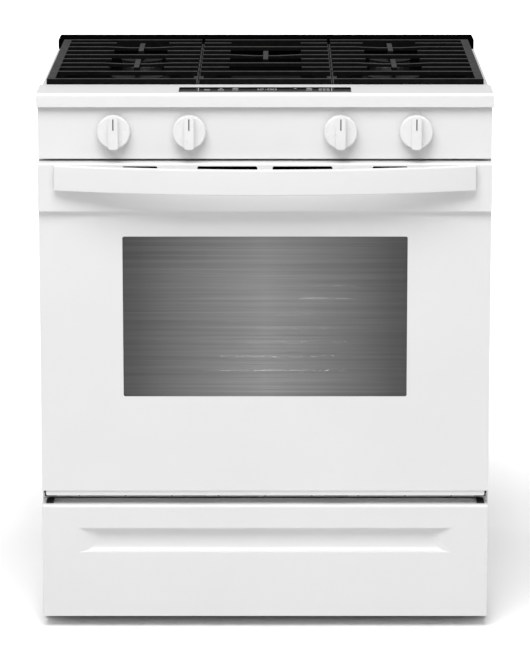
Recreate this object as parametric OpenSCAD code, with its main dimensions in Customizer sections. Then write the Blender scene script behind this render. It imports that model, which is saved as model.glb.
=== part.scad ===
/* [Cabinet] */
// Overall width of the range
range_w = 759; // [640:1:920]
// Depth from the console lip to the back of the cabinet
body_d = 658; // [600:1:800]
// Height of the console top above the floor
deck_h = 920; // [860:1:1110]
// Sheet steel thickness
sheet = 1.2; // [0.8:0.1:2]
// Height of the cabinet sides above the floor
side_bottom = 11; // [8:1:25]

/* [Cooktop] */
// Drop from the console top to the cooktop rim
rim_drop = 10; // [6:1:16]
// Depth of the cooktop well below its rim
well_d = 15; // [10:1:20]
// Depth of the rear vent trim, front to back
trim_d = 53; // [40:1:70]
// Height of the rear vent trim above the console top
trim_rise = 9.5; // [5:0.5:30]
// Width of the centre grate
centre_grate_w = 226; // [180:1:260]
// Height of the grate tops above the console top
grate_rise = 9; // [4:1:14]
// Width of a grate bar
bar_w = 9; // [6:0.5:12]
// Depth of a grate bar
bar_h = 14; // [10:0.5:16]
// Distance from a grate seam to the burner centre
burner_inset = 108.6; // [95:0.1:130]
// Radius of the front burner caps
front_cap_r = 46; // [36:1:46]
// Radius of the rear burner caps
rear_cap_r = 38; // [30:1:46]

/* [Console and knobs] */
// Depth of the console top, front to back
console_d = 102.5; // [95:0.5:125]
// Height of the console lip
lip_h = 23; // [18:1:30]
// Height of the control panel
panel_h = 88; // [74:1:106]
// Width of the touch glass
glass_w = 287; // [240:1:330]
// Distance from the middle to the inner knobs
knob_inner_x = 125.5; // [100:0.5:150]
// Distance from the middle to the outer knobs
knob_outer_x = 251; // [210:0.5:300]
// Knob diameter
knob_dia = 55.6; // [46:0.1:60]
// Knob push travel
knob_push = 3.5; // [2:0.1:4]
// Valve stem diameter
stem_dia = 8; // [6:0.1:10]

/* [Door] */
// Gap between the control panel and the door
door_gap = 4.3; // [3:0.1:8]
// Thickness of the door behind its face
door_t = 41; // [36:0.5:50]
// Height of the trim across the top of the door
door_trim_h = 81; // [70:1:100]
// How far the door trim stands proud of the door face
trim_proud = 10; // [6:0.5:14]
// Width of the window opening
window_w = 476; // [400:1:540]
// Height of the window opening
window_h = 274; // [230:1:330]
// Height of the window above the door bottom
window_rise = 173; // [140:1:200]
// Height of the handle bar
handle_h = 42.5; // [34:0.5:52]
// Thickness of the handle bar
handle_t = 13; // [10:0.5:16]
// Bow of the handle from its ends to its middle
handle_bow = 46; // [38:0.5:56]
// Hinge pin diameter
hinge_pin_d = 8; // [6:0.1:10]

/* [Drawer] */
// Height of the drawer front above the floor
drawer_bottom = 20; // [16:1:30]
// Height of the drawer front
drawer_h = 196.4; // [165:0.1:236]
// Depth of the drawer front
drawer_face_t = 44; // [38:0.5:44]
// Height of the recess between drawer and door
toe_gap = 15.6; // [12:0.1:22]
// Depth of the finger scoop
scoop_d = 14; // [10:0.5:17]

/* [Oven] */
// Space from the oven liner to each side of the cabinet
side_space = 73.3; // [62:0.1:90]
// Space from the oven liner to the back of the cabinet
rear_space = 127.8; // [110:0.1:150]
// Insulation thickness at the sides and back
wool_t = 39.8; // [30:0.1:44]
// Height of the oven opening above the door bottom
oven_rise = 26; // [24:1:34]
// Drop from the top of the door to the oven ceiling
oven_drop = 99.7; // [90:0.1:120]
// Distance between the rack levels
rack_pitch = 62.5; // [50:0.5:75]
// Oven rack rod radius
rack_rod_r = 3; // [2.5:0.1:4]

/* [Hidden] */
$fn = 64;
cut = 1;
fit_gap = 0.05;
seam_gap = 1;
half_w = range_w / 2;
handle_reach = trim_proud + handle_t + 1 + handle_bow;
front_y = -(body_d - handle_reach) / 2;

// heights
rim_z = deck_h - rim_drop;
well_z = rim_z - well_d;
lip_bottom = deck_h - lip_h;
panel_bottom = lip_bottom - panel_h;
knob_z = panel_bottom + panel_h * 0.535;
door_top = panel_bottom - door_gap;
drawer_top = drawer_bottom + drawer_h;
door_bottom = drawer_top + toe_gap;
door_sill = door_bottom + 9;
door_trim_z = door_top - door_trim_h;
window_z = door_bottom + window_rise;
oven_z = door_bottom + oven_rise;
oven_top = door_top - oven_drop;

// distances behind the console lip
panel_y = 10;
gasket_t = 5;
frame_y = door_t + gasket_t;
frame_back = frame_y + sheet;
rear_out = body_d - 2;
rear_in = rear_out - sheet;
trim_y = body_d - trim_d;
oven_rear = body_d - rear_space - sheet;
wool_rear = oven_rear + sheet + wool_t;

// oven box
oven_half = half_w - side_space - sheet;
liner_half = oven_half + sheet;
wool_half = liner_half + wool_t;
floor_plate_z = oven_z + 26;

// cooktop well and grates
inner_half = half_w - sheet;
pan_half = half_w - 11;
well_half = pan_half - 12.5;
well_front = console_d + 9.5;
well_rear = trim_y - 9;
grate_top = deck_h + grate_rise;
grate_bottom = grate_top - bar_h;
seam_cut = 2;
haunch = 16;
arch_z = grate_bottom + 7;
grate_front = console_d + 1.5;
grate_rear = trim_y - 11;
row_count = 8;
first_row = grate_front + 91;
last_row = grate_rear - 45;
row_pitch = (last_row - first_row) / (row_count - 1);
seam_x = centre_grate_w / 2;
burner_x = seam_x + seam_gap + burner_inset;
front_burner_y = first_row + 2 * row_pitch;
rear_burner_y = first_row + 6 * row_pitch;
cap_t = 6;
head_h = 10;
sleeve_r = 20;
cup_r = 26;
cup_h = 28;

// knobs, valves and gas line
knob_r = knob_dia / 2;
stem_r = stem_dia / 2;
knob_back = panel_y - knob_push - 1;
knob_front = knob_back - 14;
grip_front = knob_front - 12;
stem_tip = knob_back - 11;
mark_d = 0.6;
mark_w = 2;
valve_y = 30;
valve_d = 32;
manifold_y = valve_y + valve_d;
manifold_s = 18;
tube_z = knob_z - 30;
supply_x = -(half_w - 44.5);
supply_y = rear_in - 35;
cord_x = -supply_x - 60;
regulator_z = 144;
rear_bottom = regulator_z + 38;
cord_z = rear_bottom + 30;
inlet_r = 9.3;
inlet_len = 18;

// door hinge
pivot_y = 20;
pivot_z = door_bottom + 8;
pin_r = hinge_pin_d / 2;
ear_r = pin_r + 4;
hinge_x = half_w - 22.5;
hinge_w = 18;
ear_t = 3;
arm_t = 7;
notch_x = hinge_x - 4;

// drawer
drawer_half = half_w - 34.5;
rail_z = drawer_bottom + 90;
rail_half_h = 12;
face_back = drawer_face_t + sheet;
box_bottom = drawer_bottom + 30;
box_top = box_bottom + 100;
box_rear = body_d - 118;

// legs, screws and louvres of the cabinet
leg_front = 110;
leg_inset = 50;
rear_clear = 58;
screw_r = 2;
louvre_pitch = 110;
louvre_half = 36;
louvre_step = 16;
louvre_h = 6;
rear_screw_z = [for (i = [0:4]) rear_bottom + 18 + i * (rim_z - rear_bottom - 78) / 4];

function row_y(i) = first_row + i * row_pitch;
function rack_level(i) = oven_z + 49 + i * rack_pitch;
function knob_x(i) = [-knob_outer_x, -knob_inner_x, knob_inner_x, knob_outer_x][i];

// ---- helpers -------------------------------------------------------------

// Moves a piece drawn from the console lip into the part's own frame
module installed() translate([0, front_y, 0]) children();

module slab(x, y, z)
    translate([x[0], y[0], z[0]]) cube([x[1] - x[0], y[1] - y[0], z[1] - z[0]]);

module across(half, y, z) slab([-half, half], y, z);

module both_sides() {
    children();
    mirror([1, 0, 0]) children();
}

module rod_x(r, x, y, z)
    translate([x[0], y, z]) rotate([0, 90, 0]) cylinder(h = x[1] - x[0], r = r);

module rod_y(r, x, y, z)
    translate([x, y[0], z]) rotate([-90, 0, 0]) cylinder(h = y[1] - y[0], r = r);

module rod_z(r, x, y, z)
    translate([x, y, z[0]]) cylinder(h = z[1] - z[0], r = r);

// Extrudes an X-Z outline along Y
module along_y(y)
    translate([0, y[1], 0]) rotate([90, 0, 0]) linear_extrude(y[1] - y[0]) children();

// Extrudes a Y-Z outline along X
module along_x(x)
    translate([x[0], 0, 0]) rotate([90, 0, 90]) linear_extrude(x[1] - x[0]) children();

module rounded(x, z, r) {
    translate([x[0] + r, z[0]]) square([x[1] - x[0] - 2 * r, z[1] - z[0]]);
    translate([x[0], z[0] + r]) square([x[1] - x[0], z[1] - z[0] - 2 * r]);
    for (cx = [x[0] + r, x[1] - r], cz = [z[0] + r, z[1] - r]) translate([cx, cz]) circle(r);
}

// A sheet box with walls of thickness t, open on the side that "open" pushes through
module shell_box(half, y, z, t, open) difference() {
    across(half, y, z);
    across(half - t, [y[0] + t - open[0], y[1] - t + open[1]],
        [z[0] + t - open[2], z[1] - t + open[3]]);
}

module at_burners() {
    for (side = [-1, 1]) {
        translate([side * burner_x, front_burner_y, 0]) {
            $cap_r = front_cap_r;
            children();
        }
        translate([side * burner_x, rear_burner_y, 0]) {
            $cap_r = rear_cap_r;
            children();
        }
    }
}

module at_rear_screws()
    for (side = [-1, 1], z = rear_screw_z) translate([side * (half_w - 11), 0, z]) children();

module at_pan_screws()
    for (x = [burner_x - 60, burner_x + 60], side = [-1, 1], y = [first_row - 45, last_row - 75])
        translate([side * x, y, 0]) children();

// ---- cabinet ---------------------------------------------------------------

module side_panel() color("white") difference() {
    union() {
        slab([inner_half, half_w], [frame_back, rear_in], [side_bottom, rim_z]);
        slab([half_w - 13.5, inner_half], [frame_back, frame_back + sheet], [side_bottom, lip_bottom]);
        slab([half_w - 20, inner_half], [rear_in - sheet, rear_in], [side_bottom, rim_z - sheet]);
        slab([pan_half, inner_half], [console_d, rear_in], [rim_z - sheet, rim_z]);
    }
    slab([pan_half - cut, half_w + cut], [frame_back - cut, console_d], [lip_bottom, rim_z + cut]);
    installed_screw_holes();
}

module installed_screw_holes()
    at_rear_screws() rod_y(screw_r + 0.2, 0, [rear_in - sheet - cut, rear_out + cut], 0);

module rear_panel() color("gainsboro") difference() {
    across(inner_half - 1, [rear_in, rear_out], [rear_bottom, rim_z - 1]);
    installed_screw_holes();
    for (i = [-2:2], j = [0:5]) {
        z = rim_z - 180 + j * louvre_step;
        slab([i * louvre_pitch - louvre_half, i * louvre_pitch + louvre_half],
            [rear_in - cut, rear_out + cut], [z, z + louvre_h]);
    }
    rod_y(11, cord_x, [rear_in - cut, rear_out + cut], cord_z);
}

module base_pan() color("darkgray") difference() {
    shell_box(inner_half, [frame_back + 13, rear_in - sheet], [side_bottom + 1, side_bottom + 30],
        sheet, [0, 0, 0, 40]);
    at_legs() rod_z(5.3, 0, 0, [side_bottom, side_bottom + 5]);
}

module at_legs()
    for (side = [-1, 1], y = [leg_front, body_d - rear_clear])
        translate([side * (half_w - leg_inset), y, 0]) children();

module leveling_legs() color("dimgray") at_legs() {
    rod_z(18, 0, 0, [0, 5]);
    rod_z(9, 0, 0, [4, side_bottom + 1]);
    rod_z(5, 0, 0, [4, side_bottom + 34]);
    translate([0, 0, side_bottom + 1 + sheet]) cylinder(h = 7, r = 9, $fn = 6);
}

module front_frame() color("whitesmoke") difference() {
    across(inner_half, [frame_y, frame_back], [drawer_top + 1, panel_bottom]);
    across(oven_half, [frame_y - cut, frame_back + cut], [oven_z, oven_top]);
}

module cabinet_screws() color("silver") {
    at_rear_screws() {
        rod_y(screw_r, 0, [rear_in - 8, rear_out], 0);
        rod_y(4.5, 0, [rear_out, body_d], 0);
    }
    at_pan_screws() {
        rod_z(screw_r, 0, 0, [well_z - 9, well_z]);
        rod_z(4.5, 0, 0, [well_z, well_z + 2]);
    }
}

// ---- oven --------------------------------------------------------------------

module oven_liner() color("dimgray") {
    difference() {
        shell_box(liner_half, [frame_back, oven_rear + sheet], [oven_z - sheet, oven_top + sheet],
            sheet, [sheet + cut, 0, 0, 0]);
        rod_y(22, lamp_x(), [oven_rear - cut, oven_rear + sheet + cut], lamp_z());
        rod_y(3.3, -lamp_x(), [oven_rear - cut, oven_rear + sheet + cut], lamp_z());
        across(58, [oven_rear - cut, oven_rear + sheet + cut], [flue_z() + 2, flue_z() + 36]);
    }
    both_sides() for (i = [0:5]) {
        slab([oven_half - 11, oven_half], [frame_back + 20, oven_rear - 20],
            [rack_level(i) - rack_rod_r - 6.3, rack_level(i) - rack_rod_r - 0.3]);
    }
}

function lamp_x() = oven_half - 75;
function lamp_z() = oven_top - 65;
function flue_z() = oven_top - 50;

module oven_floor() color("dimgray") difference() {
    union() {
        across(oven_half - 1, [frame_back + 13, oven_rear - 4], [floor_plate_z, floor_plate_z + sheet]);
        both_sides() slab([oven_half - 1 - sheet, oven_half - 1], [frame_back + 13, oven_rear - 4],
            [oven_z, floor_plate_z]);
    }
    for (side = [-1, 1], i = [0:5])
        translate([side * (oven_half - 35), frame_back + 60 + i * 65, 0])
            slab([-6, 6], [0, 40], [floor_plate_z - cut, floor_plate_z + sheet + cut]);
}

module bake_burner() color("silver") difference() {
    union() {
        rod_y(12, 0, [frame_back + 45, oven_rear], oven_z + 13);
        across(34, [frame_back + 60, oven_rear - 60], [oven_z + 11, oven_z + 13]);
    }
    rod_y(10.5, 0, [frame_back + 47, oven_rear + cut], oven_z + 13);
}

module broil_burner() color("silver") {
    shell_box(60, [frame_back + 75, oven_rear - 90], [oven_top - 24, oven_top - 6], 1.5, [0, 0, 3, 0]);
    across(58.5, [frame_back + 76.5, oven_rear - 91.5], [oven_top - 22, oven_top - 19]);
    for (x = [-45, 45], y = [frame_back + 95, oven_rear - 110]) rod_z(4, x, y, [oven_top - 6, oven_top]);
}

module oven_igniters() color("lightgray") {
    slab([38, 46], [frame_back + 245, frame_back + 305], [oven_z + 5, oven_z + 15]);
    slab([38, 46], [frame_back + 285, frame_back + 305], [oven_z, oven_z + 5]);
    slab([66, 74], [frame_back + 195, frame_back + 255], [oven_top - 18, oven_top - 8]);
    slab([66, 74], [frame_back + 235, frame_back + 255], [oven_top - 8, oven_top]);
}

module temperature_sensor() color("silver") {
    rod_y(3, -lamp_x(), [oven_rear - 80, oven_rear + sheet], lamp_z());
    rod_y(9, -lamp_x(), [oven_rear - 1.5, oven_rear], lamp_z());
}

module oven_lamp() color("lightyellow") {
    translate([lamp_x(), oven_rear - 6, lamp_z()]) sphere(13);
    rod_y(11, lamp_x(), [oven_rear - 4, oven_rear + sheet], lamp_z());
    rod_y(16, lamp_x(), [oven_rear + sheet, oven_rear + 32], lamp_z());
}

module lamp_cover() color("azure") translate([lamp_x(), oven_rear, lamp_z()]) rotate([90, 0, 0])
    rotate_extrude() difference() {
        intersection() {
            union() {
                circle(27);
                square([30, 3]);
            }
            square([31, 28]);
        }
        circle(25);
    }

module oven_insulation() color("khaki") difference() {
    across(wool_half, [frame_back + 3, wool_rear], [oven_z - sheet - 24, oven_top + sheet + wool_t]);
    across(liner_half, [frame_back, oven_rear + sheet], [oven_z - sheet, oven_top + sheet]);
    across(60.5, [oven_rear, wool_rear + cut], [flue_z() - 0.5, flue_z() + 40.5]);
    rod_y(24, lamp_x(), [oven_rear, wool_rear + cut], lamp_z());
}

module door_gasket() color("dimgray") along_y([frame_y - gasket_t + 0.2, frame_y]) difference() {
    rounded([-oven_half - 13, oven_half + 13], [oven_z - 13, oven_top + 13], 18);
    rounded([-oven_half - 5, oven_half + 5], [oven_z - 5, oven_top + 5], 10);
}

module flue_duct() color("silver") difference() {
    union() {
        across(60, [oven_rear + sheet, trim_y + 35], [flue_z(), flue_z() + 40]);
        across(60, [trim_y + 7, trim_y + 35], [flue_z(), rim_z]);
    }
    across(58.5, [oven_rear, trim_y + 33.5], [flue_z() + 1.5, flue_z() + 38.5]);
    across(58.5, [trim_y + 8.5, trim_y + 33.5], [flue_z() + 1.5, rim_z + cut]);
}

module oven_rack(z) color("silver") {
    half = oven_half - 7;
    y = [frame_back + 24, oven_rear - 10];
    wires = 2 * floor((half - 12) / 30);
    pitch = 2 * half / (wires + 1);
    rods = 4;
    $fn = 8;
    both_sides() rod_y(rack_rod_r, half, [y[0] - rack_rod_r, y[1] + rack_rod_r], z);
    for (end = y) rod_x(rack_rod_r, [-half, half], end, z);
    for (i = [1:rods - 1])
        rod_x(2.4, [-half, half], y[0] + i * (y[1] - y[0]) / rods, z - 0.5);
    for (i = [1:wires])
        rod_y(1.6, -half + i * pitch, y, z + 1.9);
}

// ---- cooktop -----------------------------------------------------------------

module cooktop() color("#101012") difference() {
    union() {
        translate([0, 0, well_z - sheet]) linear_extrude(well_d + sheet) well_outline(sheet);
        across(pan_half, [console_d, trim_y], [rim_z - sheet, rim_z]);
    }
    translate([0, 0, well_z]) linear_extrude(well_d + cut) well_outline(0);
    at_burners() rod_z(sleeve_r + 0.5, 0, 0, [well_z - sheet - cut, well_z + cut]);
    at_pan_screws() rod_z(screw_r + 0.2, 0, 0, [well_z - sheet - cut, well_z + cut]);
}

module well_outline(grow)
    rounded([-well_half - grow, well_half + grow], [well_front - grow, well_rear + grow], 20 + grow);

module burner_heads() color("silver") at_burners() difference() {
    union() {
        rod_z(sleeve_r, 0, 0, [well_z - 11, well_z]);
        rod_z($cap_r - 2, 0, 0, [well_z, well_z + head_h]);
    }
    rod_z(sleeve_r - 6, 0, 0, [well_z - 11 - cut, well_z + head_h - 3]);
    ports = 18;
    for (i = [0:ports - 1]) rotate([0, 0, (i + 0.5) * 360 / ports])
        slab([$cap_r - 10, $cap_r], [-1.3, 1.3], [well_z + head_h - 4, well_z + head_h + cut]);
}

module burner_caps() color("#18181a") at_burners() translate([0, 0, well_z + head_h])
    rotate_extrude() intersection() {
        square([$cap_r, cap_t]);
        translate([0, cap_t - 6 * $cap_r]) circle(6 * $cap_r, $fn = 256);
        union() {
            square([$cap_r - 3, cap_t]);
            square([$cap_r, cap_t - 3]);
            translate([$cap_r - 3, cap_t - 3]) circle(3);
        }
    }

module spark_electrodes() color("white") at_burners() {
    rod_z(3.2, 0, $cap_r + 7, [well_z, well_z + 9]);
    rod_z(1, 0, $cap_r + 7, [well_z + 8, well_z + 13]);
}

module orifice_holders() color("silver") at_burners() difference() {
    rod_z(cup_r, 0, 0, [well_z - sheet - cup_h, well_z - sheet]);
    rod_z(sleeve_r + 0.6, 0, 0, [well_z - sheet - 14, well_z]);
}

// A bar across the grate, arched underneath and lowered by "dip" over a burner centred at cx
module grate_bar(y, x, cx, dip) along_y([y - bar_w / 2, y + bar_w / 2]) polygon([
    [x[0], grate_bottom], [x[0] + haunch, grate_bottom],
    [x[0] + 2 * haunch, arch_z], [x[1] - 2 * haunch, arch_z],
    [x[1] - haunch, grate_bottom], [x[1], grate_bottom], [x[1], grate_top],
    [cx + 62, grate_top], [cx + 20, grate_top - dip],
    [cx - 20, grate_top - dip], [cx - 62, grate_top], [x[0], grate_top]]);

// A finger from the frame at "root" to its tip, cut away underneath
module grate_finger(y, root, tip) {
    step = (root < tip ? 1 : -1) * min(haunch, abs(tip - root) / 4);
    along_y([y - bar_w / 2, y + bar_w / 2]) polygon([
        [root, grate_bottom], [root + step, grate_bottom],
        [root + 2 * step, arch_z], [tip - step, arch_z],
        [tip, grate_top - 5], [tip, grate_top], [root, grate_top]]);
}

// One grate between two edges; edge[i] is the width of the frame bar there
module grate(x, edge, cx, gap, marks, mark_l) color("#1b1b1d") {
    sunk = 8;
    span = [x[0] + (edge[0] > bar_w ? 0 : seam_cut), x[1] - (edge[1] > bar_w ? 0 : seam_cut)];
    for (i = [0:row_count - 1]) {
        if (i % 2 == 0) {
            grate_bar(row_y(i), span, cx, len([for (m = marks) if (m == i) m]) > 0 ? 1.8 : 0);
        } else {
            grate_finger(row_y(i), span[0], cx - gap);
            grate_finger(row_y(i), span[1], cx + gap);
        }
    }
    for (m = marks)
        slab([cx - 4.5, cx + 4.5], [row_y(m) - mark_l / 2, row_y(m) + mark_l / 2],
            [grate_top - 11, grate_top - 0.8]);
    slab(span, [grate_front, grate_front + bar_w], [grate_bottom, grate_top]);
    slab(span, [grate_rear - bar_w, grate_rear], [grate_bottom, grate_top]);
    for (i = [0, 1]) {
        inward = i == 0 ? 1 : -1;
        low = edge[i] > bar_w ? 0 : sunk;
        inner = x[i] + inward * edge[i];
        slab([min(x[i], inner), max(x[i], inner)], [grate_front, grate_rear],
            [grate_bottom, grate_top - low]);
        foot = max(-well_half + 14, min(well_half - 14, x[i] + inward * 12));
        for (y = [well_front + 20, well_rear - 20]) {
            slab([foot - 5, foot + 5], [y - 5, y + 5], [well_z, grate_bottom + 4]);
            slab([min(x[i], foot), max(x[i], foot)], [y - 5, y + 5], [grate_bottom, grate_bottom + 4]);
        }
        translate([0, 0, grate_bottom]) linear_extrude(bar_h - sunk) polygon([
            [inner, grate_front + 52], [inner, grate_front + 38],
            [inner + inward * 30, grate_front + bar_w], [inner + inward * 44, grate_front + bar_w]]);
    }
}

module side_grate() grate([seam_x + seam_gap, pan_half - 0.5], [8, 14], burner_x, 47.5, [2, 6], 100);

module centre_grate() grate([-seam_x, seam_x], [8, 8], 0, 62.5, [4], 106);

module rear_vent_trim() color("#141416") difference() {
    along_y([trim_y, body_d]) rounded_top(half_w, rim_z, deck_h + trim_rise, 4);
    along_y([trim_y + 1.5, body_d - 1.5])
        rounded_top(half_w - 1.5, rim_z - cut, deck_h + trim_rise - 1.5, 2.5);
    pitch = 46;
    for (i = [-6:6], y = [trim_y + 18, trim_y + 32])
        slab([i * pitch - 17, i * pitch + 17], [y, y + 8], [deck_h, deck_h + trim_rise + cut]);
}

module rounded_top(half, z0, z1, r) {
    translate([-half, z0]) square([2 * half, z1 - z0 - r]);
    translate([-half + r, z0]) square([2 * half - 2 * r, z1 - z0]);
    for (side = [-1, 1]) translate([side * (half - r), z1 - r]) circle(r);
}

// ---- console and controls --------------------------------------------------------

module console_outline(wall, nose) {
    r = nose - wall;
    y0 = wall;
    y1 = console_d - wall;
    z1 = deck_h - wall;
    z0 = wall > 0 ? lip_bottom - cut : lip_bottom;
    translate([y0 + r, z0]) square([y1 - y0 - r, z1 - z0]);
    translate([y0, z0]) square([y1 - y0, z1 - z0 - r]);
    translate([y0 + r, z1 - r]) circle(r);
}

module front_console() color("white") difference() {
    along_x([-half_w, half_w]) console_outline(0, 5);
    along_x([-half_w + 2, half_w - 2]) console_outline(2, 5);
    across(glass_w / 2, glass_y, [deck_h - 2 - cut, deck_h + cut]);
}

// Front and rear edges of the touch glass
glass_y = [20, 72];

module touch_glass() color("#0c0c0e")
    across(glass_w / 2 - 0.2, [glass_y[0] + 0.2, glass_y[1] - 0.2], [deck_h - 2, deck_h]);

module control_board() color("darkgreen") {
    across(glass_w / 2 - 8, [glass_y[0] + 3, glass_y[1] - 3], [deck_h - 5.6, deck_h - 4]);
    across(30, [glass_y[0] + 12, glass_y[1] - 12], [deck_h - 4, deck_h - 2]);
}

module control_panel() color("white") difference() {
    shell_box(half_w - 2, [panel_y, frame_back], [panel_bottom, lip_bottom], 1.5, [0, 3, 0, 0]);
    for (i = [0:3]) rod_y(stem_r + 2, knob_x(i), [panel_y - cut, panel_y + 3], knob_z);
}

// A stem with a flat, as wide as r and grown by the running gap
module stem_outline(r) difference() {
    circle(r);
    translate([-r, r * 0.7]) square([2 * r, r]);
}

module valve_bodies() color("goldenrod") for (i = [0:3]) difference() {
    slab([knob_x(i) - 12, knob_x(i) + 12], [valve_y, valve_y + valve_d], [knob_z - 14, knob_z + 14]);
    rod_y(stem_r + fit_gap, knob_x(i), [valve_y - cut, valve_y + 16], knob_z);
}

module valve_stem(i) color("silver") translate([knob_x(i), 0, knob_z]) {
    rod_y(stem_r, 0, [panel_y + 2, valve_y + 15.5], 0);
    along_y([stem_tip, panel_y + 2]) stem_outline(stem_r);
}

// The raised grip: as long as the knob, with a tip at its rim
module grip_outline() {
    half = 8;
    tip_half = 4.5;
    tip = -0.7;
    intersection() {
        circle(knob_r - 0.4);
        translate([-half, 0]) square([2 * half, knob_r]);
    }
    polygon([[-half, 0], [half, 0], [half, 3 - knob_r], [tip_half, -knob_r - tip],
        [-tip_half, -knob_r - tip], [-half, 3 - knob_r]]);
}

module knob(i) color("white") translate([knob_x(i), 0, knob_z]) difference() {
    union() {
        rod_y(knob_r, 0, [knob_front + 2, knob_back], 0);
        translate([0, knob_front + 2, 0]) rotate([90, 0, 0]) cylinder(h = 2, r1 = knob_r, r2 = knob_r - 2);
        along_y([grip_front, knob_front + 2]) grip_outline();
    }
    along_y([stem_tip - knob_push - 0.5, knob_back + cut]) stem_outline(stem_r + fit_gap);
    rod_y(knob_r - 4, 0, [knob_back - 3, knob_back + cut], 0);
    along_y([grip_front - cut, grip_front + mark_d]) translate([-mark_w / 2, 5]) square([mark_w, 19]);
}

module gas_manifold() color("lightgray") {
    half = knob_outer_x + 95;
    difference() {
        slab([-half, half], [manifold_y, manifold_y + manifold_s],
            [knob_z - manifold_s / 2, knob_z + manifold_s / 2]);
        slab([-half + 3, half - 3], [manifold_y + 2, manifold_y + manifold_s - 2],
            [knob_z - manifold_s / 2 + 2, knob_z + manifold_s / 2 - 2]);
    }
    rod_y(7, supply_x, [manifold_y + manifold_s - 1, supply_y], knob_z);
    translate([supply_x, supply_y, knob_z]) sphere(7);
    rod_z(7, supply_x, supply_y, [regulator_z + 38, knob_z]);
}

// A round tube along straight runs between the points
module piped(r, points) {
    for (i = [0:len(points) - 2]) {
        run = points[i + 1] - points[i];
        flat = norm([run[0], run[1]]);
        translate(points[i]) rotate([0, atan2(flat, run[2]), atan2(run[1], run[0])])
            cylinder(h = norm(run), r = r);
    }
    for (i = [1:len(points) - 2]) translate(points[i]) sphere(r + 0.4);
}

module gas_tubes() color("silver") for (side = [-1, 1]) {
    $fn = 12;
    cup_z = well_z - sheet - cup_h;
    piped(3, [[side * knob_outer_x, 50, knob_z - 14], [side * knob_outer_x, 50, tube_z],
        [side * burner_x, 110, tube_z], [side * burner_x, front_burner_y, tube_z],
        [side * burner_x, front_burner_y, cup_z]]);
    piped(3, [[side * knob_inner_x, 50, knob_z - 14], [side * knob_inner_x, 50, tube_z],
        [side * (burner_x - 34), 110, tube_z], [side * (burner_x - 34), front_burner_y + 60, tube_z],
        [side * burner_x, rear_burner_y, tube_z], [side * burner_x, rear_burner_y, cup_z]]);
}

module pressure_regulator() color("silver") difference() {
    union() {
        rod_z(24, supply_x, supply_y, [regulator_z - 16, regulator_z + 16]);
        rod_z(11, supply_x, supply_y, [regulator_z + 16, regulator_z + 38]);
        translate([supply_x, supply_y, regulator_z]) rotate([-90, 0, 0])
            cylinder(h = rear_in - supply_y - 2, r = 16, $fn = 6);
    }
    rod_y(inlet_r, supply_x, [rear_in - 2 - inlet_len, rear_in], regulator_z);
}

module cord_gland() color("#202022") difference() {
    union() {
        rod_y(10.8, cord_x, [rear_in - 8, rear_out], cord_z);
        rod_y(14, cord_x, [rear_in - 8, rear_in], cord_z);
        rod_y(14, cord_x, [rear_out, body_d], cord_z);
    }
    rod_y(5, cord_x, [rear_in - 8 - cut, body_d + cut], cord_z);
}

// ---- door ------------------------------------------------------------------------

// Air slots in the trim: each span across one half of the door
slot_spans = [[12.7, 112], [178.5, 236.6]];
slot_drop = 5;
slot_h = 12;

module door_top_trim() color("white") difference() {
    union() {
        across(half_w - 2, [-trim_proud + 4, 0], [door_trim_z, door_top]);
        across(half_w - 2, [-trim_proud, 0], [door_trim_z, door_top - 4]);
        rod_x(4, [-half_w + 2, half_w - 2], -trim_proud + 4, door_top - 4);
        across(half_w - 2, [0, door_t - 1], [door_top - 1.5, door_top]);
    }
    across(half_w - 3.5, [-trim_proud + 1.5, cut], [door_trim_z + 1.5, door_top - 1.5]);
    both_sides() for (s = slot_spans)
        along_y([-trim_proud - cut, -trim_proud + 3])
            rounded(s, [door_top - slot_drop - slot_h, door_top - slot_drop], 3);
}

module door_handle() color("white") {
    half = half_w - 29;
    outer = -trim_proud - handle_t - 1 - handle_bow;
    bow_r = (half * half + handle_bow * handle_bow) / (2 * handle_bow);
    z = [door_top - 1.7 - handle_h, door_top - 1.7];
    difference() {
        intersection() {
            translate([0, outer + bow_r, z[0]]) cylinder(h = handle_h, r = bow_r, $fn = 256);
            across(half, [outer - cut, -trim_proud], z);
        }
        difference() {
            translate([0, outer + bow_r, z[0] - cut])
                cylinder(h = handle_h + 2 * cut, r = bow_r - handle_t, $fn = 256);
            both_sides() slab([half - 24, half + cut], [outer, 0], [z[0] - 2 * cut, z[1] + 2 * cut]);
        }
    }
}

module hinge_notch()
    both_sides() slab([notch_x, half_w - 3.2], [pivot_y - ear_r - 1, door_t + cut],
        [door_bottom - 9, pivot_z + ear_r + 2]);

module door_outer_panel() color("white") difference() {
    union() {
        across(half_w - 2, [0, sheet], [door_sill, door_top - 34]);
        both_sides() slab([half_w - 2 - sheet, half_w - 2], [0, door_t - 1], [door_sill, door_top - 1.5]);
        across(half_w - 2, [0, door_t - 1], [door_sill, door_sill + sheet]);
    }
    along_y([-cut, sheet + cut])
        rounded([-window_w / 2, window_w / 2], [window_z, window_z + window_h], 3);
    hinge_notch();
}

module door_bottom_strip() color("white") difference() {
    along_y([2, pivot_y - ear_r - 1.5])
        rounded([-half_w + 8.5, half_w - 8.5], [door_bottom, door_sill], 3);
    hinge_notch();
}

module window_glass() color("#404448")
    across(window_w / 2 + 10, [sheet, sheet + 4], [window_z - 10, window_z + window_h + 10]);

module inner_window_glass() color("#606468")
    across(window_w / 2 - 2, [door_t - sheet - 4, door_t - sheet], [window_z + 5, window_z + window_h - 5]);

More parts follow.
